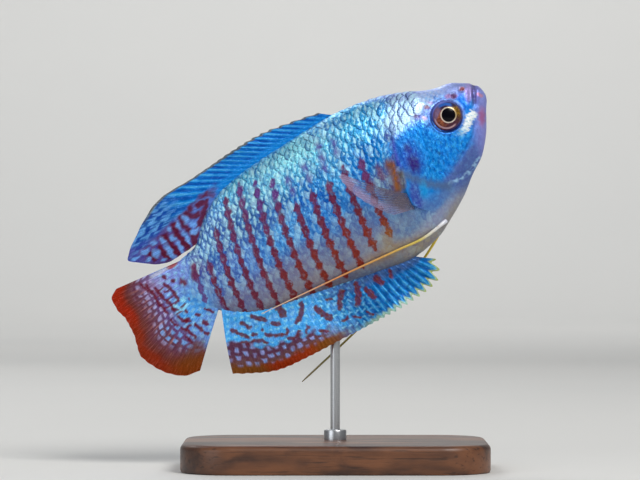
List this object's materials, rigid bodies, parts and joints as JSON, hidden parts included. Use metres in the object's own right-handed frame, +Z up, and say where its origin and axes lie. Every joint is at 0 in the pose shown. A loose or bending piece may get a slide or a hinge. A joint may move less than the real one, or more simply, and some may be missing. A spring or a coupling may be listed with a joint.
{
  "type": "dwarf gourami model",
  "caption": "Life-size still model of a blue dwarf gourami with red bars, swimming nose up, held by a steel rod over a flat wooden base",
  "frame": {"origin": "centre of the underside of the stand's base, on the floor", "axes": "+X towards the fish's head, +Y to the fish's left, +Z up; the fish's right side faces -Y"},
  "size_m": [0.0666, 0.036, 0.0681],
  "materials": {
    "scaled_skin": "satin, pearly turquoise scales crossed by brick-red bars",
    "eye_surface": "clear gloss over an orange-brown iris, a pale gold ring and a black pupil",
    "blue_fin": "satin blue with darker streaks and a thin orange-brown edge",
    "red_fin": "satin, pale blue dashes on red-brown with an orange-red edge",
    "clear_fin": "clear membrane with fine brownish rays",
    "feeler_skin": "satin, white at the root, then yellow and orange",
    "stand_wood": "satin dark walnut",
    "stand_steel": "brushed"
  },
  "bodies": {
    "root": {"head": "scaled_skin", "gill_cover_right": "scaled_skin", "gill_cover_left": "scaled_skin", "torso": "scaled_skin", "tail": "scaled_skin", "eye_right": "eye_surface", "eye_left": "eye_surface", "dorsal_fin": "blue_fin", "anal_fin": "blue_fin", "caudal_fin": "red_fin", "pectoral_fin_right": "clear_fin", "pectoral_fin_left": "clear_fin", "feeler_right": "feeler_skin", "feeler_left": "feeler_skin", "stand_base": "stand_wood", "stand_collar": "stand_steel", "stand_rod": "stand_steel"}
  },
  "joints": []
}
